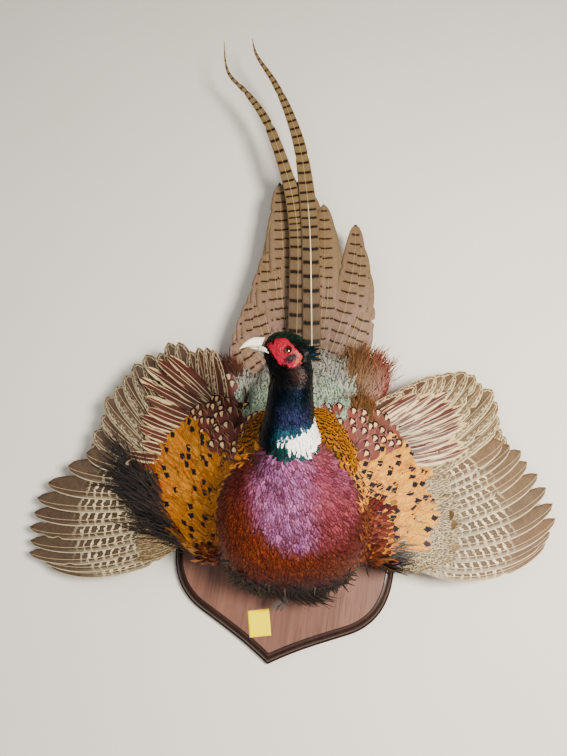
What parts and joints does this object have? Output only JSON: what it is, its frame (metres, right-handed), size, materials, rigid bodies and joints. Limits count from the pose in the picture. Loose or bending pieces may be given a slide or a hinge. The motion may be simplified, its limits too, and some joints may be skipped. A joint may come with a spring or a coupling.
{
  "type": "mounted pheasant on a shield plaque",
  "caption": "Life-size cock ring-necked pheasant with spread wings and long barred tail, mounted on a wooden shield plaque that lies on its back.",
  "frame": {"origin": "middle of the plaque's flat back, which lies on the floor", "axes": "+Z out of the plaque's face and up as it lies, +Y along the plaque from its pointed foot towards the bird's tail, +X towards the bird's left wing"},
  "size_m": [0.671, 0.9102, 0.2557],
  "materials": {
    "plaque_board": "walnut laminate board, satin",
    "tag_paper": "plain yellow paper sticker, matte",
    "body_plumage": "copper and maroon body feathers",
    "rump_plumage": "loose tan and rufous rump feathers",
    "neck_plumage": "glossy green-black and blue feathers with a white collar",
    "bare_face": "painted papillate bare skin",
    "eye_glass": "polished glass eye",
    "bill_horn": "ivory horn, satin",
    "wing_coverts": "chestnut and golden covert feathers",
    "flight_feathers": "barred grey-brown flight feathers",
    "tail_feathers": "barred olive-buff tail feathers",
    "leg_scales": "dry grey-brown leg scales"
  },
  "bodies": {
    "root": {"plaque": "plaque_board", "tag": "tag_paper", "trunk": "body_plumage", "rump_left": "rump_plumage", "rump_right": "rump_plumage", "neck": "neck_plumage", "head": "neck_plumage", "face_left": "bare_face", "face_right": "bare_face", "eye_left": "eye_glass", "eye_right": "eye_glass", "bill_upper": "bill_horn", "bill_lower": "bill_horn", "wing_left_arm": "wing_coverts", "wing_right_arm": "wing_coverts", "wing_left_hand": "flight_feathers", "wing_right_hand": "flight_feathers", "wing_left_inner": "flight_feathers", "wing_right_inner": "flight_feathers", "tail_fan": "tail_feathers", "tail_long_left": "tail_feathers", "tail_long_right": "tail_feathers", "leg_left": "leg_scales", "leg_right": "leg_scales", "foot_left": "leg_scales", "foot_right": "leg_scales"}
  },
  "joints": []
}
